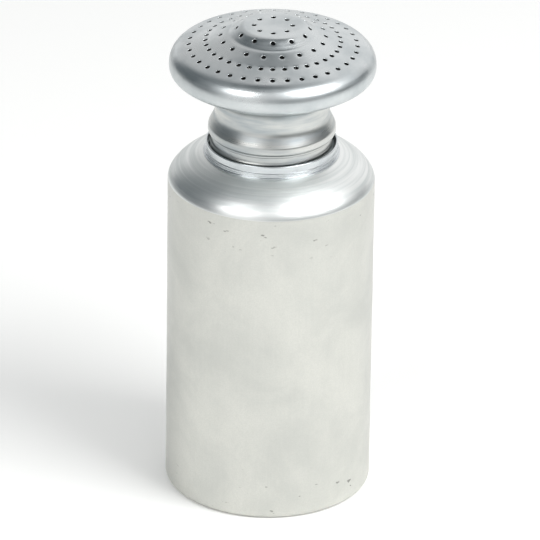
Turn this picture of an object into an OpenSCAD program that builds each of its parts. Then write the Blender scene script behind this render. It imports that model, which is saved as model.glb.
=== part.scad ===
// Mushroom-top aluminium shaker for dry spices, sugar or flour.
// A spun container carries a threaded mouth ring. The top screws into the ring and is
// made of two shells: a neck with the underside of the head, and a perforated dome
// whose edge is rolled round the neck's rim.
// The origin is the centre of the base, +Z is up, -Y is the front, sizes are in mm.

/* [Container] */
// Outside diameter of the container
body_d = 80; // [66:1:100]
// Height of the straight wall, up to the start of the shoulder
wall_h = 128; // [90:1:160]
// Height of the shoulder, from the top of the wall to the flat land round the mouth
shoulder_h = 11.7; // [9:0.1:16]
// Height that the shoulder climbs straight on from the wall before it leans in
shoulder_lift = 3.2; // [2:0.1:5]
// Slope of the shoulder where it reaches the land, in degrees
shoulder_slope = 22; // [10:1:32]
// Sheet thickness of the container
can_t = 1.0; // [0.6:0.1:1.2]
// Outside radius of the corner between base and wall
base_corner = 2.2; // [1.6:0.1:4]
// Width of the flat ring that the container stands on
foot_w = 5; // [3:0.5:8]
// Depth of the pressed recess in the base
base_recess = 1.0; // [0.4:0.1:1.6]

/* [Mouth ring] */
// Sheet thickness of the mouth ring
ring_t = 0.7; // [0.5:0.05:0.9]
// Height of the lip above the land of the shoulder
lip_h = 4.8; // [4:0.1:8]
// Width of the flange that lies on the land
flange_w = 0.9; // [0.6:0.1:1.4]
// Height of the flange
flange_h = 0.9; // [0.6:0.1:1.4]
// Depth of the bore below the land, down to the seat
bore_depth = 7.0; // [5:0.5:12]
// Distance that the seat reaches in under the edge of the skirt
seat_w = 0.8; // [0.4:0.1:1.4]

/* [Thread] */
// Height of one turn of the thread
pitch = 2.4; // [2:0.1:3]
// Height of the thread ridge on the skirt
skirt_ridge = 0.55; // [0.3:0.05:0.6]
// Height of the thread ridge in the mouth ring
ring_ridge = 0.5; // [0.3:0.05:0.6]

/* [Top, neck shell] */
// Outside diameter of the threaded skirt
skirt_d = 46.6; // [40:0.2:50]
// Sheet thickness of the neck shell
neck_t = 0.9; // [0.6:0.05:1.1]
// Height of the lower edge of the plain band above the lip
band_lift = 2.8; // [1.5:0.1:6]
// Distance that the plain band stands out from the skirt
band_step = 0.3; // [0.2:0.05:0.5]
// Height of the plain band, up to the middle of the bead
band_h = 2.6; // [1.8:0.1:5]
// Distance that the bead stands out from the skirt
bead_step = 1.1; // [0.9:0.05:1.3]
// Outside diameter of the waist
waist_d = 44.2; // [38:0.2:46]
// Height over which the bead draws in to the waist
flare_h = 6.4; // [5:0.1:9]
// Height of the waist, up to where its line meets the underside of the head
waist_h = 8.0; // [7:0.1:16]

/* [Top, perforated dome] */
// Outside diameter of the head
head_d = 79.4; // [76:0.2:92]
// Sheet thickness of the dome
dome_t = 0.9; // [0.6:0.05:1.1]
// Slope of the underside of the head, in degrees
under_slope = 31; // [22:1:34]
// Distance that the rolled edge reaches in under the head
curl_in = 5.5; // [5:0.1:8]
// Height of the rim between its upper and lower corners
rim_h = 8.4; // [8:0.1:11]
// Outside radius of the upper corner of the rim
rim_top_r = 7; // [3:0.1:7.2]
// Outside radius of the lower corner of the rim
rim_low_r = 3.9; // [2.5:0.1:4]
// Slope of the outer terrace, in degrees
terrace_slope = 15.7; // [10:0.1:18]
// Radius at which the outer terrace starts
terrace_r = 24.9; // [24:0.1:26]
// Slope of the ramp between the inner ledge and the outer terrace, in degrees
ramp_slope = 22.5; // [20:0.5:26]
// Radius at which the inner ledge turns down into the ramp
ledge_r = 17.9; // [17.6:0.1:18.6]
// Slope of the inner ledge, in degrees
ledge_slope = 8; // [5:1:13]
// Radius at the foot of the plateau
plateau_foot_r = 16.9; // [16.4:0.1:17.2]
// Height of the plateau above its foot
plateau_h = 3.2; // [2.8:0.1:4]
// Radius at which the lines of the plateau and its side meet
plateau_r = 12.4; // [12:0.1:13]
// Outside radius of the edge of the plateau
plateau_edge = 4.2; // [2:0.1:4.4]

/* [Holes] */
// Diameter of the punched holes
hole_d = 1.8; // [1.2:0.1:2.2]
// Radius of each ring of holes, from the inside out
hole_ring_r = [7.35, 14.1, 20.2, 25.9, 32.3];
// Number of holes in each ring
hole_count = [8, 12, 18, 36, 36];
// Share of a hole spacing by which each ring is turned away from the front
hole_turn = [0, 0, 0.5, 0, 0];

/* [Fits] */
// Radial gap between the crests of the two thread ridges
thread_gap = 0.35; // [0.3:0.05:0.6]
// Gap between the edge of the skirt and its seat
seat_gap = 0.1; // [0.05:0.05:0.5]
// Radial gap between the mouth ring and the edge of the container's opening
ring_gap = 0.05; // [0.03:0.01:0.1]
// Gap between the rolled edge of the dome and the rim of the neck shell
seam_gap = 0.05; // [0.03:0.01:0.1]

/* [Hidden] */

$fn = 96;
arc_steps = 5;
aluminium_satin = [0.80, 0.81, 0.80];
aluminium_bright = [0.86, 0.87, 0.88];

// Mouth: the sizes nest outwards from the skirt
skirt_r = skirt_d / 2;
bore_r = skirt_r + skirt_ridge + thread_gap + ring_ridge;
ring_out_r = bore_r + ring_t;
flange_r = ring_out_r + flange_w;
opening_r = ring_out_r + ring_gap;
land_r = flange_r + 0.2;
seat_in_r = skirt_r - seat_w;

land_z = wall_h + shoulder_h;
lip_z = land_z + lip_h;
seat_z = land_z - bore_depth;

// Top: heights count up from the lip
band_z = lip_z + band_lift;
bead_z = band_z + band_h;
waist_z = bead_z + flare_h;
under_z = waist_z + waist_h;
waist_r = waist_d / 2;
bead_r = skirt_r + bead_step;
head_r = head_d / 2;

// The outer face of the rolled edge lies below the underside's line by its own sheet and the seam gap
curl_drop = (dome_t + seam_gap) / cos(under_slope);
function under_line(r) = under_z + (r - waist_r) * tan(under_slope);
rim_low_z = under_line(head_r) - curl_drop;
rim_top_z = rim_low_z + rim_h;
terrace_z = rim_top_z + (head_r - terrace_r) * tan(terrace_slope);
ledge_z = terrace_z + (terrace_r - ledge_r) * tan(ramp_slope);
plateau_foot_z = ledge_z + (ledge_r - plateau_foot_r) * tan(ledge_slope);
top_z = plateau_foot_z + plateau_h;
// The neck shell's rim ends where the rolled edge starts to turn up, measured square to its slope
curl_start_r = head_r - rim_low_r * tan((90 - under_slope) / 2) * cos(under_slope);
shell_rim_r = curl_start_r - (dome_t + seam_gap) * sin(under_slope);

// ---- outlines ----

function unit(v) = v / norm(v);
function turned(v) = [-v[1], v[0]];

// Arc that rounds the corner at point v, between the lines to its neighbours p and q
function rounded(p, v, q, r) =
    let(
        a = unit(p - v),
        b = unit(q - v),
        half = acos(max(-1, min(1, a * b))) / 2,
        centre = v + unit(a + b) * r / sin(half),
        from = v + a * r / tan(half) - centre,
        sweep = 180 - 2 * half,
        side = sign(cross(from, v - centre))
    )
    [for (i = [0 : arc_steps])
        let(t = side * sweep * i / arc_steps)
        centre + [from[0] * cos(t) - from[1] * sin(t), from[0] * sin(t) + from[1] * cos(t)]];

// Outline through corners given as [radius from the axis, height, rounding]
function outline(c) =
    let(n = len(c) - 1, p = [for (k = c) [k[0], k[1]]])
    [for (i = [0 : n])
        each (i == 0 || i == n || c[i][2] == 0)
            ? [p[i]]
            : rounded(p[i - 1], p[i], p[i + 1], c[i][2])];

// Curve from a to d that leaves a towards b and reaches d from c
function bend(a, b, c, d, steps) =
    [for (i = [0 : steps])
        let(t = i / steps, u = 1 - t)
        u * u * u * a + 3 * u * u * t * b + 3 * u * t * t * c + t * t * t * d];

// The same outline moved by t to its left, with mitred corners
function moved(p, t) =
    let(n = len(p) - 1)
    [for (i = [0 : n])
        let(
            before = turned(unit(p[max(i, 1)] - p[max(i, 1) - 1])),
            after = turned(unit(p[min(i, n - 1) + 1] - p[min(i, n - 1)])),
            way = unit(before + after)
        )
        p[i] + way * t / (way * before)];

function backwards(p) = [for (i = [len(p) - 1 : -1 : 0]) p[i]];

// Sheet of thickness t on the left of an outline, spun round the axis
module spun_sheet(p, t) {
    rotate_extrude()
        polygon(concat(p, backwards(moved(p, t))));
}

// ---- pieces ----

module container() {
    body_r = body_d / 2;
    foot_in_r = body_r - base_corner - foot_w;
    shoulder = bend(
        [body_r, wall_h],
        [body_r, wall_h + shoulder_lift],
        [land_r + (body_r - land_r) * 0.62, land_z - (body_r - land_r) * 0.62 * tan(shoulder_slope)],
        [land_r, land_z],
        24
    );
    base = outline([
        [0, base_recess, 0],
        [foot_in_r - 2 * base_recess, base_recess, 1.5],
        [foot_in_r, 0, 1.5],
        [body_r, 0, base_corner],
        [body_r, wall_h / 2, 0]
    ]);
    color(aluminium_satin)
        spun_sheet(concat(base, shoulder, [[opening_r, land_z]]), can_t);
}

module mouth_ring() {
    lip_mid = bore_r + ring_t / 2;
    color(aluminium_bright)
        rotate_extrude() {
            polygon([
                [bore_r, seat_z - ring_t],
                [ring_out_r, seat_z - ring_t],
                [ring_out_r, lip_z - ring_t / 2],
                [bore_r, lip_z - ring_t / 2]
            ]);
            translate([lip_mid, lip_z - ring_t / 2])
                circle(d = ring_t);
            polygon([
                [lip_mid, land_z],
                [flange_r, land_z],
                [flange_r, land_z + flange_h / 3],
                [ring_out_r, land_z + flange_h],
                [lip_mid, land_z + flange_h]
            ]);
            polygon([
                [seat_in_r, seat_z - ring_t],
                [lip_mid, seat_z - ring_t],
                [lip_mid, seat_z],
                [seat_in_r, seat_z]
            ]);
            for (z = [seat_z + pitch : pitch : lip_z - pitch / 2])
                translate([bore_r, z])
                    circle(r = ring_ridge);
        }
}

module top_neck() {
    foot_z = seat_z + seat_gap;
    bead_round = bead_step;
    sheet = outline([
        [skirt_r, foot_z, 0],
        [skirt_r, bead_z - bead_round, 1],
        [bead_r - 0.2, bead_z + 0.6, 1.3],
        [waist_r, waist_z, 10],
        [waist_r, under_z, 5],
        [shell_rim_r, under_line(shell_rim_r), 0]
    ]);
    color(aluminium_satin)
        rotate_extrude() {
            polygon(concat(sheet, backwards(moved(sheet, neck_t))));
            translate([bead_r - bead_round, bead_z])
                circle(r = bead_round);
            polygon([
                [skirt_r - neck_t / 2, band_z],
                [skirt_r, band_z],
                [skirt_r + band_step, band_z + band_step],
                [skirt_r + band_step, bead_z],
                [skirt_r - neck_t / 2, bead_z]
            ]);
            for (z = [foot_z + 1.5 * pitch : pitch : band_z - pitch / 2])
                translate([skirt_r, z])
                    circle(r = skirt_ridge);
        }
}

// Outer face of the dome, from its centre out, round the rim and in under it
dome_face = outline([
    [0, top_z, 0],
    [plateau_r, top_z, plateau_edge],
    [plateau_foot_r, plateau_foot_z, 1.0],
    [ledge_r, ledge_z, 3.0],
    [terrace_r, terrace_z, 2.0],
    [head_r, rim_top_z, rim_top_r],
    [head_r, rim_low_z, rim_low_r],
    [head_r - curl_in, rim_low_z - curl_in * tan(under_slope), 0]
]);

module punched_holes() {
    for (ring = [0 : len(hole_count) - 1])
        for (i = [0 : hole_count[ring] - 1])
            rotate([0, 0, -90 + (i + hole_turn[ring]) * 360 / hole_count[ring]])
                translate([hole_ring_r[ring], 0, (rim_low_z + rim_top_z) / 2])
                    cylinder(d = hole_d, h = top_z - rim_low_z);
}

module sieve_dome() {
    color(aluminium_bright)
        difference() {
            spun_sheet(dome_face, -dome_t);
            punched_holes();
        }
}

container();
mouth_ring();
top_neck();
sieve_dome();
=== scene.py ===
# %% [markdown]
# # An aluminium spice shaker with a mushroom top
# The shaker is four pieces of thin aluminium sheet. Each one is spun on a lathe, so each one is
# a line turned round the Z axis. This lesson draws those lines in millimetres, turns them into
# meshes with numpy, and gives every sheet the finish that its tool left on it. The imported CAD
# model is the frame: it says where each piece is and which pieces move together.

import math

import bpy
import numpy as np
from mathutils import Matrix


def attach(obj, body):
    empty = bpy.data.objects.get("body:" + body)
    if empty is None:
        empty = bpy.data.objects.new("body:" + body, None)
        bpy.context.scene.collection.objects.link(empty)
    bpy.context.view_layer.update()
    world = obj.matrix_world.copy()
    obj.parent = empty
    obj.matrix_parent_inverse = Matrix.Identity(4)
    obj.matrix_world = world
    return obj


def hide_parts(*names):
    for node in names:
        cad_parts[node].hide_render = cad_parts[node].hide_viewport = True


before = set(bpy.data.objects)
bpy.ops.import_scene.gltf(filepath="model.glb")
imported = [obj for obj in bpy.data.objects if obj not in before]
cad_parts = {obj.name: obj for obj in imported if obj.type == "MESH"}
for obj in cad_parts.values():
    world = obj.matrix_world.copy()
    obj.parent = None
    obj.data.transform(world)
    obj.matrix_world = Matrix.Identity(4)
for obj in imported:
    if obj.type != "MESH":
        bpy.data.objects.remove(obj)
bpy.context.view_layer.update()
MM = 0.001

# %% [markdown]
# ## Lines to spin
# A spun piece needs only its outline: points (r, z), with r the distance from the axis. Sheet
# metal never turns a sharp corner, so a small helper rounds each corner with an arc and cuts
# long straight parts into steps. A second helper moves the line sideways by the sheet's
# thickness, and the two lines together bound the metal.


# %% Outline helpers
def unit(v):
    """The vector of length 1 that points the way v does."""
    return v / np.linalg.norm(v)


def rounded_line(corners, arc_angle=6.0, step=3.0):
    """Points (r, z) along straight lines through corners (r, z, rounding), in mm. Each corner
    gets an arc of that radius, in steps of at most arc_angle degrees. The arc's centre lies on
    the line that halves the corner, at the radius divided by the sine of half its angle."""
    xy = np.array([c[:2] for c in corners], float)
    out = [xy[0]]
    for i in range(1, len(xy) - 1):
        corner, radius = xy[i], corners[i][2]
        if radius == 0:
            out.append(corner)
            continue
        a, b = unit(xy[i - 1] - corner), unit(xy[i + 1] - corner)
        half = math.acos(np.clip(a @ b, -1, 1)) / 2
        centre = corner + unit(a + b) * radius / math.sin(half)
        first = corner + a * radius / math.tan(half) - centre
        sweep = math.pi - 2 * half
        side = np.sign(first[0] * (corner - centre)[1] - first[1] * (corner - centre)[0])
        steps = max(3, math.ceil(math.degrees(sweep) / arc_angle))
        t = side * np.linspace(0, sweep, steps + 1)
        arc = np.stack([first[0] * np.cos(t) - first[1] * np.sin(t),
                        first[0] * np.sin(t) + first[1] * np.cos(t)], 1)
        out.extend(centre + arc)
    out.append(xy[-1])
    return stepped(np.array(out), step)


def stepped(line, step):
    """The same line with extra points, so that no piece of it is longer than step."""
    out = [line[:1]]
    for a, b in zip(line[:-1], line[1:]):
        n = max(1, math.ceil(np.linalg.norm(b - a) / step))
        out.append(a + (b - a) * (np.arange(1, n + 1) / n)[:, None])
    line = np.concatenate(out)
    keep = np.r_[True, np.linalg.norm(np.diff(line, axis=0), axis=1) > 1e-6]
    return line[keep]


def bend(a, b, c, d, n):
    """n + 1 points of the cubic curve that leaves a towards b and reaches d from c."""
    t = np.linspace(0, 1, n + 1)[:, None]
    a, b, c, d = (np.array(v, float) for v in (a, b, c, d))
    return (1 - t) ** 3 * a + 3 * (1 - t) ** 2 * t * b + 3 * (1 - t) * t**2 * c + t**3 * d


def normals(line):
    """The unit normals on the left of a line."""
    way = np.gradient(line, axis=0)
    way /= np.linalg.norm(way, axis=1)[:, None]
    return np.stack([-way[:, 1], way[:, 0]], 1)


def hem(line, t, n=4):
    """A half circle that joins the end of a line to the end of the line moved left by t. It
    reaches t / 2 beyond the end."""
    end, left = line[-1], normals(line)[-1]
    a = np.linspace(0, math.pi, n + 2)[1:-1, None]
    ahead = np.array([left[1], -left[0]])
    return end + left * t / 2 - left * t / 2 * np.cos(a) + ahead * t / 2 * np.sin(a)


def sheet(line, t):
    """The closed outline of a sheet of thickness t on the left of a line."""
    return np.concatenate([line, hem(line, t), (line + normals(line) * t)[::-1]])


# %% [markdown]
# ## From outline to mesh
# Turning an outline is one outer product: every point is repeated at each angle. Where the
# outline meets the axis the ring of points shrinks to one, or the surface would be pinched.
# `shape` pushes points in or out by angle and height, which is how the thread is rolled in
# and how a hand-used can loses its perfect roundness.

# %% Mesh helpers
LATHE_STEPS = 192
ON_AXIS = 1e-6


def make_object(name, points, faces, body, node):
    """A smooth mesh object from points in mm and faces, riding on body in place of node."""
    mesh = bpy.data.meshes.new(name)
    mesh.from_pydata((np.asarray(points) * MM).tolist(), [], faces)
    mesh.validate()
    mesh.shade_smooth()
    obj = bpy.data.objects.new(name, mesh)
    bpy.context.scene.collection.objects.link(obj)
    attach(obj, body)
    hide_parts(node)
    print(f"{name}: {len(mesh.vertices)} points, {len(mesh.polygons)} faces")
    return obj


def turned(outline, shape):
    """Points and faces of an outline (r, z) turned round Z: (r cos a, r sin a, z), once
    shape(r, z, a) has moved r and z. Points on the axis become one pole. The outline runs with
    the metal on its left, so the faces look outwards."""
    angle = np.arange(LATHE_STEPS) * 2 * math.pi / LATHE_STEPS
    r, z = (np.repeat(outline[:, i:i + 1], LATHE_STEPS, 1) for i in (0, 1))
    r, z = shape(r, z, np.broadcast_to(angle, r.shape))
    grid = np.stack([r * np.cos(angle), r * np.sin(angle), z], 2)
    pole = outline[:, 0] < ON_AXIS
    points, index = [], np.zeros(r.shape, int)
    count = 0
    for i, is_pole in enumerate(pole):
        points.append(grid[i, :1] if is_pole else grid[i])
        index[i] = count + (0 if is_pole else np.arange(LATHE_STEPS))
        count += len(points[-1])
    a, b = index, np.roll(index, -1, 1)
    faces = []
    for i in range(len(outline)):
        j = (i + 1) % len(outline)
        if pole[i] and pole[j]:
            continue
        quad = np.stack([a[i], b[i], b[j], a[j]], 1)
        if pole[i]:
            quad = quad[:, [0, 2, 3]]
        elif pole[j]:
            quad = quad[:, [0, 1, 2]]
        faces.extend(quad.tolist())
    return np.concatenate(points), faces


# %% [markdown]
# ## Sizes
# The driving sizes are those of the CAD source, in millimetres. Heights count up from the base
# to the land of the shoulder, the lip of the mouth, the bead of the top and the head.

# %% Sizes in mm
# The can: the land is the flat end of its shoulder
BODY_R = 40.0
CAN_T = 1.0
WALL_H = 128.0
LAND_Z = 139.7
# The mouth ring, its thread, and the skirt that goes into it
SKIRT_R = 23.3
BORE_R = 24.7
RING_T = 0.7
RING_R = BORE_R + RING_T
FLANGE_W = 0.9
LIP_Z = 144.5
SEAT_Z = 132.7
PITCH = 2.4
# The neck
BEAD_Z = 149.9
BEAD_R = 24.4
WAIST_R = 22.1
WAIST_Z = 156.3
UNDER_Z = 164.3
# The head: SLOPE is that of its underside, RIM_LOW_R rounds the lower corner of its rim, and
# the seam is where the dome's edge is rolled round the neck's sheet
HEAD_R = 39.7
SLOPE = math.radians(31)
SHEET_T = 0.9
SEAM_GAP = 0.05
RIM_LOW_R = 3.9
CURL_DROP = (SHEET_T + SEAM_GAP) / math.cos(SLOPE)


def under_line(r):
    """Height of the underside of the head at r."""
    return UNDER_Z + (r - WAIST_R) * math.tan(SLOPE)


RIM_LOW_Z = under_line(HEAD_R) - CURL_DROP
print(f"lower corner of the rim at z {RIM_LOW_Z:.2f} mm")

# %% [markdown]
# ## The container
# A drawn and spun can keeps small faults of its making and use: the wall is out of round by
# about a tenth of a millimetre, which bends each reflection a little. A sum of slow waves round
# and up the wall does this. It pushes in by up to 0.14 mm and out by no more than 0.01 mm, so
# that the can stays inside its CAD box.

# %% Dents
DENT = 0.12
DENT_FROM_R = 26
rng = np.random.default_rng(7)
WAVES = [(k, rng.uniform(0, 2 * math.pi), rng.uniform(18, 60), rng.uniform(0, 2 * math.pi))
         for k in (2, 3, 4, 5, 7, 9)]


def dented(r, z, angle):
    """Pushes the wall and shoulder in: r less DENT times (0.6 + the mean of the waves
    cos(k a + p) cos(2 pi z / w + q)), faded out towards the base and the land."""
    wave = sum(np.cos(k * angle + p) * np.cos(2 * math.pi * z / w + q) for k, p, w, q in WAVES)
    wave = wave / len(WAVES)
    fade = np.clip((z - 4) / 12, 0, 1) * np.clip((LAND_Z - 1 - z) / 10, 0, 1)
    return r - DENT * fade * (0.6 + wave) * (r > DENT_FROM_R), z


print(f"dents: {len(WAVES)} waves, the shortest {min(w[2] for w in WAVES):.0f} mm high")

# %% Container
FOOT_ROUND = 2.2
STAND_W = 5
RECESS = 1
LAND_W = 0.2
FIT_GAP = 0.05
SHOULDER_FALL = math.radians(22)
foot_in = BODY_R - FOOT_ROUND - STAND_W
base = rounded_line([(0, RECESS, 0), (foot_in - 2, RECESS, 1.5), (foot_in, 0, 1.5),
                     (BODY_R, 0, FOOT_ROUND), (BODY_R, WALL_H, 0)], step=4)
reach = BODY_R - (RING_R + FLANGE_W + LAND_W)
shoulder = bend((BODY_R, WALL_H), (BODY_R, WALL_H + 3.2),
                (BODY_R - reach * 0.38, LAND_Z - reach * 0.62 * math.tan(SHOULDER_FALL)),
                (BODY_R - reach, LAND_Z), 40)
land = [[RING_R + FIT_GAP + CAN_T / 2, LAND_Z]]
can_line = np.concatenate([base, shoulder[1:], land])
points, faces = turned(sheet(can_line, CAN_T), dented)
can = make_object("can", points, faces, "container", "container")

# %% [markdown]
# ## The mouth ring
# A narrow ring of bright sheet is let into the opening: a rounded lip on top, a flange that lies
# on the shoulder and shows as two fine lines, a seat at its foot, and a thread rolled in its
# bore. A rolled thread is a helix, so its ridge climbs one pitch in each turn.

# %% Thread
RING_RIDGE, SKIRT_RIDGE = 0.5, 0.55
THREAD_FADE = 1.2


def helix(z, angle, low, high):
    """0 to 1: a rolled ridge that climbs right-handed by PITCH a turn, the fourth power of a
    cosine across it, fading out at its ends."""
    phase = (z / PITCH - angle / (2 * math.pi)) % 1.0
    ridge = np.cos(math.pi * (phase - 0.5)) ** 4
    fade = np.clip((z - low) / THREAD_FADE, 0, 1) * np.clip((high - z) / THREAD_FADE, 0, 1)
    return ridge * fade


def ring_thread(r, z, angle):
    """Rolls the thread into the bore of the mouth ring."""
    in_bore = np.abs(r - BORE_R) < 0.01
    return r - RING_RIDGE * in_bore * helix(z, angle, SEAT_Z + 0.6, LIP_Z - 1.6), z


def skirt_thread(r, z, angle):
    """Rolls the thread into the skirt of the top, below its plain band."""
    on_skirt = np.abs(r - SKIRT_R) < 0.01
    return r + SKIRT_RIDGE * on_skirt * helix(z, angle, SEAT_Z + 0.8, LIP_Z + 0.6), z


print(f"thread: pitch {PITCH} mm, {(LIP_Z - SEAT_Z) / PITCH:.1f} turns in the bore")

# %% Ring
SEAT_W = 0.8
# The ring's outer side, as distance from it, height above the land and rounding of each corner:
# the flange, a narrow step and a fine rib
RING_SIDE = [(-0.02, 0, 0), (FLANGE_W, 0, 0.14), (FLANGE_W, 0.36, 0.16), (0.30, 0.46, 0.12),
             (0.26, 0.86, 0.1), (0.04, 0.98, 0.08), (0.04, 1.40, 0.08), (0.38, 1.60, 0.1),
             (0.38, 1.90, 0.1), (0, 2.10, 0.1)]
seat = SEAT_Z - RING_T
foot = np.array([[SKIRT_R - SEAT_W, SEAT_Z], [SKIRT_R - SEAT_W, seat], [RING_R - 0.02, seat]])
flange = rounded_line([(RING_R + out, LAND_Z + up, radius) for out, up, radius in RING_SIDE]
                      + [(RING_R, LIP_Z - RING_T / 2, 0)], step=1)
lip_angle = np.linspace(0, math.pi, 9)[1:-1, None]
lip = np.array([[BORE_R + RING_T / 2, LIP_Z - RING_T / 2]]) + RING_T / 2 * np.concatenate(
    [np.cos(lip_angle), np.sin(lip_angle)], 1)
bore = stepped(np.array([[BORE_R, LIP_Z - RING_T / 2], [BORE_R, SEAT_Z + 0.01]]), 0.2)
points, faces = turned(np.concatenate([foot, flange, lip, bore]), ring_thread)
ring = make_object("ring", points, faces, "container", "mouth_ring")

# %% [markdown]
# ## The neck of the top
# One sheet makes the threaded skirt, a narrow plain band, the convex bead, the waist and the
# underside of the head. The bead and the small step below the band are what catch the light in
# the neck, so their corners are rounded by tenths of a millimetre only.

# %% Neck
NECK_END_R = HEAD_R - 2.9
BAND_Z = LIP_Z + 0.8
skirt = stepped(np.array([[SKIRT_R, SEAT_Z + 0.1], [SKIRT_R, BAND_Z]]), 0.2)
neck_line = rounded_line([
    (SKIRT_R, BAND_Z, 0), (SKIRT_R, LIP_Z + 2.75, 0.25), (SKIRT_R + 0.3, LIP_Z + 2.95, 0.22),
    (SKIRT_R + 0.22, BEAD_Z - 1.75, 0.25), (BEAD_R + 0.32, BEAD_Z - 1.2, 1.5),
    (BEAD_R + 0.05, BEAD_Z + 1.6, 1.9), (WAIST_R, WAIST_Z, 7), (WAIST_R, UNDER_Z, 5),
    (NECK_END_R, under_line(NECK_END_R), 0)], step=1.5)
inner_line = rounded_line([
    (SKIRT_R, SEAT_Z + 0.1, 0), (SKIRT_R, BEAD_Z - 1.1, 1), (BEAD_R - 0.2, BEAD_Z + 0.6, 1.3),
    (WAIST_R, WAIST_Z, 10), (WAIST_R, UNDER_Z, 5), (NECK_END_R, under_line(NECK_END_R), 0)],
    step=1.5)
outside = np.concatenate([skirt, neck_line[1:]])
inside = inner_line + normals(inner_line) * SHEET_T
points, faces = turned(np.concatenate([outside, inside[::-1]]), skirt_thread)
neck = make_object("neck", points, faces, "top", "top_neck")

# %% [markdown]
# ## The dome and its punched holes
# A boolean cut would leave ragged shading round 110 small holes. Instead the sheet is drawn as a
# flat map, with s the distance along the outline from the centre and the angle round the axis.
# In the map each hole sits in its own cell: rings of points run from the round edge of the hole
# out to the straight sides of the cell. Plain strips fill what lies between the rings of cells.
# Then the map is laid on the outline. A punch draws the sheet down with it, so the points near
# a hole sink along the normal: a soft dimple, and a rounded edge that catches the light.

# %% Dome outline
RIM_H = 8.4
CURL_W = 5.5
CROWN_H = 3.2
CROWN_R, FOOT_R, LEDGE_R, TERRACE_R = 12.4, 16.9, 17.9, 24.9
rim_z = RIM_LOW_Z + RIM_H
terrace_z = rim_z + (HEAD_R - TERRACE_R) * math.tan(math.radians(15.7))
ledge_z = terrace_z + (TERRACE_R - LEDGE_R) * math.tan(math.radians(22.5))
foot_z = ledge_z + (LEDGE_R - FOOT_R) * math.tan(math.radians(8))
top_z = foot_z + CROWN_H
dome_line = rounded_line([
    (0, top_z, 0), (CROWN_R, top_z, 4.2), (FOOT_R, foot_z, 1.0), (LEDGE_R, ledge_z, 3.0),
    (TERRACE_R, terrace_z, 2.0), (HEAD_R, rim_z, 7.0), (HEAD_R, RIM_LOW_Z, RIM_LOW_R),
    (HEAD_R - CURL_W, RIM_LOW_Z - CURL_W * math.tan(SLOPE), 0)], arc_angle=2, step=0.1)
along = np.r_[0, np.cumsum(np.linalg.norm(np.diff(dome_line, axis=0), axis=1))]
print(f"dome: {along[-1]:.1f} mm along the outline, top at z {top_z:.2f} mm")


def smoothed(line, s, width=0.25, fine=0.05):
    """The line with its changes of curvature spread over about `width` mm, as in real sheet:
    a running mean with bell-shaped weights, on points `fine` mm apart. The line goes on as its
    mirror image beyond the axis and as its reverse beyond its end."""
    even = np.arange(0, s[-1], fine)
    data = np.stack([np.interp(even, s, line[:, i]) for i in (0, 1)], 1)
    n = int(3 * width / fine)
    kernel = np.exp(-0.5 * (np.arange(-n, n + 1) * fine / width) ** 2)
    kernel /= kernel.sum()
    first = data[1:n + 1][::-1] * [-1, 1]
    last = 2 * data[-1] - data[-n - 1:-1][::-1]
    padded = np.concatenate([first, data, last])
    return even, np.stack([np.convolve(padded[:, i], kernel, "valid") for i in (0, 1)], 1)


DOME_S, DOME_RZ = smoothed(dome_line, along)
DOME_RZ[0, 0] = 0
DOME_N = normals(DOME_RZ)
DOME_END = DOME_S[-1]


def lay(s, angle, sink):
    """Lays map points on the dome: the outline's point at s, moved down its normal by sink and
    turned by the angle, in mm."""
    r, z, nr, nz = (np.interp(s, DOME_S, v) for v in (*DOME_RZ.T, *DOME_N.T))
    r, z = r - nr * sink, z - nz * sink
    return np.stack([r * np.cos(angle), r * np.sin(angle), z], -1)


# %% Map of the holes
TURNS = 288
CELL_RISE = 6
HOLE_R = 0.9
EDGE_R = 0.16
DIMPLE = 0.06
DIMPLE_W = 0.5
# Distances from the rim of a hole to the rows of points round it
OUTER_ROWS = [0, 0.02, 0.06, 0.11, 0.16, 0.45]
INNER_ROWS = [0, 0.4]
# Radius of each ring of holes, their number, the share of a spacing by which the ring is turned
# away from the front, and half the height of its cells in the map
HOLE_RINGS = [(7.35, 8, 0.0, 2.4), (14.1, 12, 0.0, 1.9), (20.2, 18, 0.5, 2.1),
              (25.9, 36, 0.0, 1.9), (32.3, 36, 0.0, 2.1)]


def edge_drop(d):
    """How far the face sinks at a distance d from the rim of a hole: a quarter circle of radius
    EDGE_R, and a bell-shaped dimple."""
    inside = np.clip((EDGE_R - d) / EDGE_R, 0, 1)
    return EDGE_R * (1 - np.sqrt(1 - inside**2)) + DIMPLE * np.exp(-((d / DIMPLE_W) ** 2))


def cell(ring_s, ring_r, count, half_s, outer):
    """One hole's cell as rows of (s, angle, sink): the first row is the rim of the hole and the
    last the sides of the cell, which share their points with the neighbours."""
    half_a = math.pi / count
    u = np.linspace(-1, 1, TURNS // count + 1)[:-1]
    v = np.linspace(-1, 1, CELL_RISE + 1)[:-1]
    one_u, one_v = np.ones_like(u), np.ones_like(v)
    side = np.concatenate([np.stack(pair, 1) for pair in
                           ((-one_u, u), (v, one_v), (one_u, -u), (-v, -one_v))])
    side = side[::-1] * [half_s, half_a]
    way = side * [1, ring_r]
    way /= np.linalg.norm(way, axis=1)[:, None]
    near = min(half_s, half_a * ring_r)
    reach = [*OUTER_ROWS, 0.62 * (near - HOLE_R)] if outer else INNER_ROWS
    rows = []
    for d in reach:
        place = way * (HOLE_R + d) / [1, ring_r] + [ring_s, 0]
        drop = np.full(len(way), edge_drop(d) if outer else 0)
        rows.append(np.column_stack([place, drop]))
    last, ends = rows[-1][:, :2], side + [ring_s, 0]
    for t in (0.5, 1.0) if outer else (1.0,):
        rows.append(np.column_stack([last * (1 - t) + ends * t, np.zeros(len(ends))]))
    return np.array(rows)


# %% Faces of the dome
CENTRE_S = 0.15
STRIP_OUTER, STRIP_INNER = 0.55, 1.0


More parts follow.
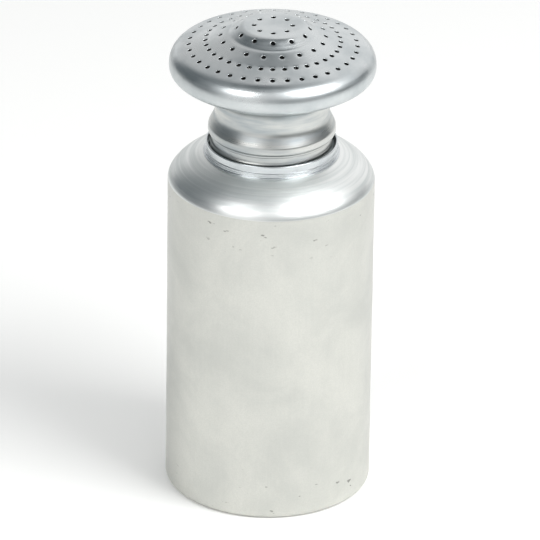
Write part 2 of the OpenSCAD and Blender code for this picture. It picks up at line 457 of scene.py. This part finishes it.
class Map:
    """Collects points (s, angle, sink) and the quads between them."""

    def __init__(self):
        self.points, self.quads, self.count = [], [], 0

    def grid(self, rows):
        """Adds rows of points, each closed to a ring, and returns the numbers of the points."""
        n_rows, n = rows.shape[:2]
        index = self.count + np.arange(n_rows * n).reshape(n_rows, n)
        a, b = index, np.roll(index, -1, 1)
        self.points.append(rows.reshape(-1, 3))
        self.quads.append(np.stack([a[:-1], a[1:], b[1:], b[:-1]], -1).reshape(-1, 4))
        self.count += n_rows * n
        return index


def dome_face(outer):
    """The outer or inner face: its points laid in space, its quads, the rims of the holes and
    the last row."""
    m, rims, edges = Map(), [], []
    angle = np.arange(TURNS) * 2 * math.pi / TURNS
    widest = DOME_RZ[:, 0].argmax()
    for r, count, shift, half_s in HOLE_RINGS:
        s = np.interp(r, DOME_RZ[:widest, 0], DOME_S[:widest])
        edges.append((s - half_s, s + half_s))
        block = cell(s, r, count, half_s, outer)
        for i in range(count):
            turn = -math.pi / 2 + (i + shift) * 2 * math.pi / count
            rims.append(m.grid(block + [0, turn, 0])[0])
    strips = [(CENTRE_S, edges[0][0])] + [(a[1], b[0]) for a, b in zip(edges, edges[1:])]
    strips.append((edges[-1][1], DOME_END))
    for low, high in strips:
        n = max(1, math.ceil((high - low) / (STRIP_OUTER if outer else STRIP_INNER)))
        s = np.linspace(low, high, n + 1)
        last = m.grid(np.stack(np.broadcast_arrays(s[:, None], angle[None, :], 0.0), -1))
    flat = np.concatenate(m.points)
    space = lay(flat[:, 0], flat[:, 1], flat[:, 2] + (0 if outer else SHEET_T))
    return space, np.concatenate(m.quads), rims, last[-1]


out_p, out_q, out_rims, out_end = dome_face(True)
in_p, in_q, in_rims, in_end = dome_face(False)
print(f"dome map: {len(out_rims)} holes, {len(out_q)} outer and {len(in_q)} inner quads")
rim_r = {round(float(np.hypot(*out_p[rim].mean(0)[:2])), 1) for rim in out_rims}
print("hole rings at r", sorted(rim_r), "mm, drawn in from", [row[0] for row in HOLE_RINGS])

# %% Close the dome
# Points in the same cube of this side, in mm, become one point
SAME_POINT = 0.002
shift = len(out_p)
poles = lay(np.zeros(2), np.zeros(2), np.array([0, SHEET_T]))
all_p = np.concatenate([out_p, in_p, poles])
pole_out, pole_in = len(all_p) - 2, len(all_p) - 1
key = np.round(all_p / SAME_POINT + 0.237).astype(np.int64)
_, first, where = np.unique(key, axis=0, return_index=True, return_inverse=True)
where = where.ravel()
rim_pairs = [(a, b + shift) for a, b in zip(out_rims, in_rims)]
walls = [np.stack([a, np.roll(a, -1), np.roll(b, -1), b], 1) for a, b in rim_pairs]
a, b = out_end, in_end + shift
walls.append(np.stack([a, b, np.roll(b, -1), np.roll(a, -1)], 1))
quads = where[np.concatenate([out_q, in_q[:, ::-1] + shift] + walls)]


def centre_fan(face_points, offset, pole, flip):
    """Triangles from the pole to the first strip, which starts CENTRE_S from the axis."""
    r = np.hypot(face_points[:, 0], face_points[:, 1])
    near = np.flatnonzero(r < CENTRE_S + 0.05)
    near = near[np.argsort(np.arctan2(face_points[near, 1], face_points[near, 0]))]
    near = where[near + offset]
    near = near[np.r_[True, np.diff(near) != 0]]
    tri = np.stack([np.full(len(near), where[pole]), near, np.roll(near, -1)], 1)
    return (tri[:, ::-1] if flip else tri).tolist()


faces = [list(dict.fromkeys(q)) for q in quads.tolist()]
inside = [i >= len(out_q) for i, f in enumerate(faces) if len(f) > 2]
faces = [f for f in faces if len(f) > 2]
fans = centre_fan(out_p, 0, pole_out, False), centre_fan(in_p, shift, pole_in, True)
inside += [False] * len(fans[0]) + [True] * len(fans[1])
dome = make_object("dome", all_p[first], faces + fans[0] + fans[1], "top", "sieve_dome")
# Material 1 goes on the inner face and the walls of the holes: painted shade, dark so that the
# holes look dark
dome.data.polygons.foreach_set("material_index", np.array(inside, dtype=np.int32))

# %% [markdown]
# ## Check the seams
# A closed mesh has exactly two faces on every edge. An open seam or a face turned inside out
# would show as a dark line in the metal, so every piece is measured before it gets a finish.


# %% Seams
def check_closed(obj):
    """Prints how many edges don't join two faces, and the volume inside the mesh in cm3: the
    sum of a . (b x c) / 6 over its triangles."""
    mesh = obj.data
    loops = np.zeros(len(mesh.loops), int)
    mesh.loops.foreach_get("edge_index", loops)
    uses = np.bincount(loops, minlength=len(mesh.edges))
    mesh.calc_loop_triangles()
    tri = np.zeros(len(mesh.loop_triangles) * 3, int)
    mesh.loop_triangles.foreach_get("vertices", tri)
    co = np.zeros(len(mesh.vertices) * 3)
    mesh.vertices.foreach_get("co", co)
    a, b, c = (co.reshape(-1, 3)[tri.reshape(-1, 3)[:, i]] for i in range(3))
    volume = np.einsum("ij,ij->i", a, np.cross(b, c)).sum() / 6
    print(f"{obj.name}: {len(tri) // 3} triangles, {(uses != 2).sum()} open edges, "
          f"{volume * 1e6:.2f} cm3")


for piece in (can, ring, neck, dome):
    check_closed(piece)

# %% [markdown]
# ## Colour and nodes
# Colours are written as the sRGB hex values that a colour picker shows. Blender's sockets hold
# linear light, so one function turns them. A second one adds a shader node, fills its inputs
# and returns its output. A Mix node has sockets for several kinds of data, so the ones in use
# are named here by their place.

# %% Shader helpers
FACTOR, NUMBER_A, NUMBER_B, COLOUR_A, COLOUR_B = 0, 2, 3, 6, 7
COLOURS = {"data_type": "RGBA", "out": 2}
SMOOTH = {"interpolation_type": "SMOOTHSTEP"}


def linear(hex_colour):
    """A linear RGBA tuple from an sRGB hex string such as "#d0d2d0"."""
    c = np.array([int(hex_colour[i:i + 2], 16) for i in (1, 3, 5)]) / 255
    c = np.where(c <= 0.04045, c / 12.92, ((c + 0.055) / 1.055) ** 2.4)
    return (*c.tolist(), 1.0)


def add(tree, kind, *inputs, out=0, sockets=None, **settings):
    """Adds a node and returns its output `out`, by place or name, or all of them for None.
    Settings such as operation go on the node. The inputs fill its sockets in order and the
    dictionary `sockets` by place or name, as values or as links from other nodes' outputs."""
    node = tree.nodes.new("ShaderNode" + kind)
    for key, value in settings.items():
        setattr(node, key, value)
    for key, value in [*enumerate(inputs), *(sockets or {}).items()]:
        if isinstance(value, bpy.types.NodeSocket):
            tree.links.new(value, node.inputs[key])
        else:
            node.inputs[key].default_value = value
    return node.outputs if out is None else node.outputs[out]


def new_material(name):
    """A material and its node tree, with no nodes in it."""
    mat = bpy.data.materials.new(name)
    mat.use_nodes = True
    mat.node_tree.nodes.clear()
    return mat, mat.node_tree


# %% [markdown]
# ## Aluminium finishes
# All four pieces are aluminium sheet, and only the tools and the years differ. The wall is
# satin: fine drawing streaks run up it, and washing has clouded it with a thin pale oxide, which
# scatters light as paint does. The shoulder was burnished on the lathe, which leaves turning
# lines round it. The head and ring were pressed bright. One function builds a finish from these
# parts: cloudy patches, lines round the axis, and fine grain. Turning lines on real sheet are
# some 0.1 mm apart; here they are drawn 0.5 mm apart or wider, as fine as the picture can show.


# %% Patterns
def spin_coordinates(t):
    """Sockets for the object position, its x, y and z, and the distance from the axis, the
    square root of x x + y y, in metres."""
    place = add(t, "TexCoord", out="Object")
    x, y, z = add(t, "SeparateXYZ", place, out=None)
    squares = [add(t, "Math", v, v, operation="MULTIPLY") for v in (x, y)]
    r = add(t, "Math", add(t, "Math", *squares, operation="ADD"), operation="SQRT")
    return place, x, y, z, r


def weighted(t, *parts):
    """The sum of two patterns (socket, weight), each times its weight."""
    products = [add(t, "Math", *part, operation="MULTIPLY") for part in parts]
    return add(t, "Math", *products, operation="ADD")


def stretched(t, *parts):
    """A place (socket, scale) with each coordinate times its scale: a pattern drawn there is
    fine where the scale is large and drawn out where it is small."""
    return add(t, "CombineXYZ", *[add(t, "Math", *part, operation="MULTIPLY")
                                  for part in parts])


def turning_lines(t, x, y, z, r, spacing, swirl=6.0):
    """Noise in rings round the axis: it changes within `spacing` metres across the lines, and
    only slowly round them, some `swirl` times in a metre. On any slope between a flat lid and
    a wall, 0.8 r - 0.6 z changes across the lines."""
    across = weighted(t, (r, 0.8), (z, -0.6))
    place = stretched(t, (x, swirl), (y, swirl), (across, 1 / spacing))
    return add(t, "TexNoise",
               sockets={"Vector": place, "Scale": 1.0, "Detail": 3.0, "Roughness": 0.6})


def finish_metal(t, colour, roughness, height, distance, metallic=1.0):
    """Joins a finish to the metal's shader; distance is the depth of its relief in metres."""
    bump = add(t, "Bump", sockets={"Height": height, "Distance": distance, "Strength": 1.0})
    shader = add(t, "BsdfPrincipled", sockets={"Base Color": colour, "Metallic": metallic,
                                               "Roughness": roughness, "Normal": bump})
    add(t, "OutputMaterial", shader, out=None)


# %% Bright finishes
RELIEF = 0.00002
PATCHES = 55.0  # per metre: patches of about 18 mm
GRAIN = 2600.0  # per metre: grain of about 0.4 mm
SMEAR_SPACING, SMEAR_SWIRL = 0.0022, 35.0
# Piece, name, colour, stain, roughness, spacing of the turning lines in metres, and the share
# of the patches that is burnished into rings. Pressed sheet mirrors its surroundings softly,
# rolled sheet is the brightest, and burnishing smears light and dark round the neck. The inside
# of the head and the walls of its holes are painted dark: painted shade, so that the holes look
# dark.
BRIGHT = [
    (dome, "pressed bright aluminium", "#cfd3d4", "#bcc2c4", 0.31, 0.0007, 0.0),
    (dome, "aluminium inside the head, painted dark as shade", "#5c5b57", "#43413d", 0.55, 0.0011, 0.0),
    (ring, "rolled bright aluminium", "#d3d7d9", "#bfc4c7", 0.21, 0.0005, 0.0),
    (neck, "burnished aluminium", "#cfd0cd", "#a3abaf", 0.31, 0.0006, 0.75),
]


def bright_aluminium(name, colour, stain, roughness, spacing, smear):
    """Bright sheet with cloudy patches, turning lines and grain."""
    mat, t = new_material(name)
    place, x, y, z, r = spin_coordinates(t)
    cloud = add(t, "TexNoise", sockets={"Vector": place, "Scale": PATCHES, "Detail": 4.0,
                                        "Roughness": 0.6})
    wide = turning_lines(t, x, y, z, r, SMEAR_SPACING, SMEAR_SWIRL)
    cloud = add(t, "Mix", sockets={FACTOR: smear, NUMBER_A: cloud, NUMBER_B: wide})
    lines = turning_lines(t, x, y, z, r, spacing)
    grain = add(t, "TexNoise", sockets={"Vector": place, "Scale": GRAIN, "Detail": 2.0,
                                        "Roughness": 0.7})
    stained = add(t, "MapRange", cloud, 0.35, 0.75, **SMOOTH)
    tint = add(t, "Mix", sockets={FACTOR: stained, COLOUR_A: linear(colour),
                                  COLOUR_B: linear(stain)}, **COLOURS)
    dull = add(t, "MapRange", cloud, 0.3, 0.8, roughness * 0.85, roughness * 1.35, **SMOOTH)
    cut = add(t, "MapRange", lines, 0.3, 0.7, -0.03, 0.04, **SMOOTH)
    rough = add(t, "Math", dull, cut, operation="ADD")
    height = weighted(t, (lines, 0.7), (grain, 0.25))
    finish_metal(t, tint, rough, height, RELIEF)
    return mat


for piece, *finish in BRIGHT:
    piece.data.materials.append(bright_aluminium(*finish))
    print(f"{piece.name}: {finish[0]}")

# %% The can's patterns
mat, t = new_material("satin drawn aluminium")
place, x, y, z, r = spin_coordinates(t)
# Where the satin wall ends and the burnished shoulder starts, in metres
shoulder_part = add(t, "MapRange", z, 0.12855, 0.12870, **SMOOTH)
# Drawing streaks about 1 mm wide and 40 mm long, clouds of 36 mm, and grain of 0.6 mm, which is
# coarser than the real grain so that it shows
streaks = add(t, "TexNoise", sockets={"Vector": stretched(t, (x, 900.0), (y, 900.0), (z, 25.0)),
                                      "Scale": 1.0, "Detail": 3.0, "Roughness": 0.6})
cloud = add(t, "TexNoise", sockets={"Vector": place, "Scale": 28.0, "Detail": 5.0,
                                    "Roughness": 0.65, "Distortion": 0.4})
grain = add(t, "TexNoise", sockets={"Vector": place, "Scale": 1800.0, "Detail": 3.0,
                                    "Roughness": 0.7})
lines = turning_lines(t, x, y, z, r, 0.0005, swirl=22.0)
bands = turning_lines(t, x, y, z, r, 0.0017, swirl=14.0)
# Nicks of at most 4 by 2 mm, only near the foot and the top of the wall
nicks = add(t, "TexNoise", sockets={"Vector": stretched(t, (x, 230.0), (y, 230.0), (z, 600.0)),
                                    "Scale": 1.0, "Detail": 2.0})
WALL_MIDDLE = 0.066
off_middle = add(t, "Math", add(t, "Math", z, WALL_MIDDLE, operation="SUBTRACT"),
                 operation="ABSOLUTE")
nicks = add(t, "Math", add(t, "MapRange", nicks, 0.69, 0.74, **SMOOTH),
            add(t, "MapRange", off_middle, 0.040, 0.060, **SMOOTH), operation="MULTIPLY")

# %% The can's finish
CAN_RELIEF = 0.00003
WALL_BARE = 0.8  # the share of bare metal on the wall: the rest is washed oxide
wall_tint = linear("#d5d5cf")
# Each layer of the wall: how much of it shows, and its colour
for shows, hex_colour in (
        (add(t, "MapRange", weighted(t, (cloud, 0.9), (streaks, 0.1)), 0.35, 0.7, **SMOOTH),
         "#c8c9c4"),
        (add(t, "MapRange", grain, 0.35, 0.65, 0.0, 0.25, **SMOOTH), "#b9bbb5"),
        (add(t, "Math", nicks, 0.7, operation="MULTIPLY"), "#5c5c56")):
    wall_tint = add(t, "Mix", sockets={FACTOR: shows, COLOUR_A: wall_tint,
                                       COLOUR_B: linear(hex_colour)}, **COLOURS)
banded = add(t, "MapRange", bands, 0.35, 0.65, **SMOOTH)
shoulder_tint = add(t, "Mix", sockets={FACTOR: banded, COLOUR_A: linear("#e9ebea"),
                                       COLOUR_B: linear("#d5d9d8")}, **COLOURS)
tint = add(t, "Mix", sockets={FACTOR: shoulder_part, COLOUR_A: wall_tint,
                              COLOUR_B: shoulder_tint}, **COLOURS)
# Roughness, height of the relief and share of bare metal, on the wall and on the shoulder
rough, height, bare = (
    add(t, "Mix", sockets={FACTOR: shoulder_part, NUMBER_A: wall, NUMBER_B: shoulder})
    for wall, shoulder in (
        (add(t, "MapRange", cloud, 0.3, 0.75, 0.33, 0.41, **SMOOTH),
         add(t, "MapRange", bands, 0.3, 0.7, 0.35, 0.43, **SMOOTH)),
        (weighted(t, (streaks, 0.06), (grain, 0.7)), weighted(t, (lines, 2.2), (bands, 0.25))),
        (WALL_BARE, 1.0)))
finish_metal(t, tint, rough, height, CAN_RELIEF, bare)
can.data.materials.append(mat)
print(f"can: {mat.name}, {len(t.nodes)} nodes, {WALL_BARE:.0%} bare metal on the wall")

# %% [markdown]
# ## The set
# Bare metal shows its surroundings, so the set is most of the look. The reflections in the
# photograph tell what stood there: a white table, pale walls on most sides up to about 60
# degrees, with a dark corner at the left and a dimmer gap behind the camera, a dim ceiling, and
# two soft lamps above the camera, a weak one at its left and a strong one at its right. The
# walls and ceiling are a pattern of directions in the world, so that no wall stands in the way
# when the camera goes round the shaker.

# %% Table
TABLE_SIDE, TABLE_FRONT = 4.0, 1.6
PAPER_GLOW = 0.09
FIBRES = 900.0  # per metre: fibres of about 1 mm


def white_paper():
    """Matt white paper, which shows the soft shadow of the shaker. Seen directly or in the
    metal it is lifted a little, to the white of a studio background."""
    mat, t = new_material("white table paper")
    fibre = add(t, "TexNoise", sockets={"Vector": add(t, "TexCoord", out="Object"),
                                        "Scale": FIBRES, "Detail": 3.0})
    colour = add(t, "Mix", sockets={FACTOR: fibre, COLOUR_A: linear("#fafaf9"),
                                    COLOUR_B: linear("#f6f6f4")}, **COLOURS)
    rays = add(t, "LightPath", out=None)
    seen = add(t, "Math", rays["Is Camera Ray"], rays["Is Glossy Ray"], operation="ADD")
    seen = add(t, "Math", seen, rays["Is Transmission Ray"], operation="ADD")
    glow = add(t, "Emission", colour, add(t, "Math", seen, PAPER_GLOW, operation="MULTIPLY"))
    both = add(t, "AddShader", add(t, "BsdfDiffuse", colour), glow)
    add(t, "OutputMaterial", both, out=None)
    return mat


mesh = bpy.data.meshes.new("table")
mesh.from_pydata([(-TABLE_SIDE, -TABLE_FRONT, 0), (TABLE_SIDE, -TABLE_FRONT, 0),
                  (TABLE_SIDE, TABLE_SIDE, 0), (-TABLE_SIDE, TABLE_SIDE, 0)], [], [(0, 1, 2, 3)])
mesh.materials.append(white_paper())
table = bpy.data.objects.new("table", mesh)
bpy.context.scene.collection.objects.link(table)
print(f"table: {2 * TABLE_SIDE:.0f} m wide")

# %% World
CEILING_LIGHT = 0.16
# Name, azimuth and half width in degrees (0 is behind the camera, 90 to its right), lowest and
# highest elevation, width of the soft edge, light
PANELS = [
    ("front ceiling", 0, 75, 56, 84, 12, 0.42),
    ("back wall", 174, 46, -10, 62, 10, 1.05),
    ("back left wall", -148, 26, 18, 65, 12, 0.66),
    ("right wall", 72, 56, 18, 62, 16, 0.94),
    ("left front wall", -34, 26, -10, 60, 10, 0.92),
    ("right front wall", 24, 18, 18, 60, 12, 1.0),
    ("dark left corner", -105, 30, -10, 66, 16, 0.22),
    ("gap behind the camera", -4, 7, -10, 52, 8, 0.58),
]


def panel_window(t, flat, height, azimuth, half, low, high, soft):
    """1 in the middle of a panel and 0 outside it, with soft edges. flat is the level part of
    the direction, made 1 long, and height its upward part, the sine of the elevation."""
    a = math.radians(azimuth)
    centre = add(t, "VectorMath", flat, (math.sin(a), -math.cos(a), 0.0),
                 operation="DOT_PRODUCT", out="Value")
    across = add(t, "MapRange", centre, math.cos(math.radians(half + soft / 2)),
                 math.cos(math.radians(half - soft / 2)), **SMOOTH)
    edges = [math.sin(math.radians(v)) for v in (low - soft / 2, low + soft / 2,
                                                 high + soft / 2, high - soft / 2)]
    lower = add(t, "MapRange", height, *edges[:2], **SMOOTH)
    upper = add(t, "MapRange", height, *edges[2:], **SMOOTH)
    up = add(t, "Math", lower, upper, operation="MULTIPLY")
    return add(t, "Math", across, up, operation="MULTIPLY")


world = bpy.data.worlds.new("white tent")
bpy.context.scene.world = world
world.use_nodes = True
t = world.node_tree
t.nodes.clear()
dx, dy, dz = add(t, "SeparateXYZ", add(t, "TexCoord", out="Generated"), out=None)
flat = add(t, "VectorMath", add(t, "CombineXYZ", dx, dy, 0.0), operation="NORMALIZE")
sky = CEILING_LIGHT
for name, *window, light in PANELS:
    sky = add(t, "Mix", sockets={FACTOR: panel_window(t, flat, dz, *window),
                                 NUMBER_A: sky, NUMBER_B: light})
    print(f"{name}: light {light}")
bright = add(t, "MapRange", sky, 0.1, 0.7, **SMOOTH)
tone = add(t, "Mix", sockets={FACTOR: bright, COLOUR_A: linear("#bccdd6"),
                              COLOUR_B: linear("#ffffff")}, **COLOURS)
add(t, "OutputWorld", add(t, "Background", tone, sky), out=None)

# %% Lamps
LAMP_AIM = (0, 0, 0.12)
# Name, azimuth and elevation in degrees, distance and width in metres, power in watts
LAMPS = [("left front lamp", -42, 42, 1.3, 0.5, 3.5), ("key lamp", 56, 46, 1.3, 0.7, 12)]


def turned_to(side, up, back):
    """Euler angles of an object whose X, Y and Z axes are side, up and back."""
    y = -math.asin(np.clip(side[2], -1, 1))
    return (math.atan2(up[2], back[2]), y, math.atan2(side[1], side[0]))


def soft_lamp(name, azimuth, elevation, distance, size, power):
    """A square soft lamp at that azimuth and elevation, seen from the shaker."""
    light = bpy.data.lights.new(name, "AREA")
    light.shape = "SQUARE"
    light.size = size
    light.energy = power
    obj = bpy.data.objects.new(name, light)
    bpy.context.scene.collection.objects.link(obj)
    az, el = math.radians(azimuth), math.radians(elevation)
    away = np.array([math.sin(az) * math.cos(el), -math.cos(az) * math.cos(el), math.sin(el)])
    obj.location = np.array(LAMP_AIM) + away * distance
    look = unit(away)
    side = unit(np.cross([0, 0, 1], look))
    obj.rotation_euler = turned_to(side, np.cross(look, side), look)
    print(f"{name}: {size} m wide, {power} W")


for row in LAMPS:
    soft_lamp(*row)

# %% [markdown]
# ## Camera
# The photograph looks down at the shaker. The camera stands 2.37 m in front of it and 1.28 m up,
# looks down by 26.6 degrees and has a long lens, which gives nearly upright walls. It is rolled
# by under a degree, as it was for the photo.

# %% Camera
CAM_PLACE = (0.0, -2.372, 1.276)
CAM_DOWN = math.radians(26.60)
CAM_ROLL = 0.0135
CAM_LENS = 456.0
cam_data = bpy.data.cameras.new("camera")
cam = bpy.data.objects.new("camera", cam_data)
bpy.context.scene.collection.objects.link(cam)
bpy.context.scene.camera = cam
cam.location = CAM_PLACE
back = np.array([0, -math.cos(CAM_DOWN), math.sin(CAM_DOWN)])
level, rise = np.array([1.0, 0, 0]), np.array([0, math.sin(CAM_DOWN), math.cos(CAM_DOWN)])
side = level * math.cos(CAM_ROLL) + rise * math.sin(CAM_ROLL)
cam.rotation_euler = turned_to(side, np.cross(back, side), back)
cam_data.lens = CAM_LENS
cam_data.sensor_width = 36
bpy.context.scene.view_settings.view_transform = "Standard"
print(f"camera: {math.degrees(CAM_DOWN):.1f} degrees down, {CAM_LENS:.0f} mm lens")
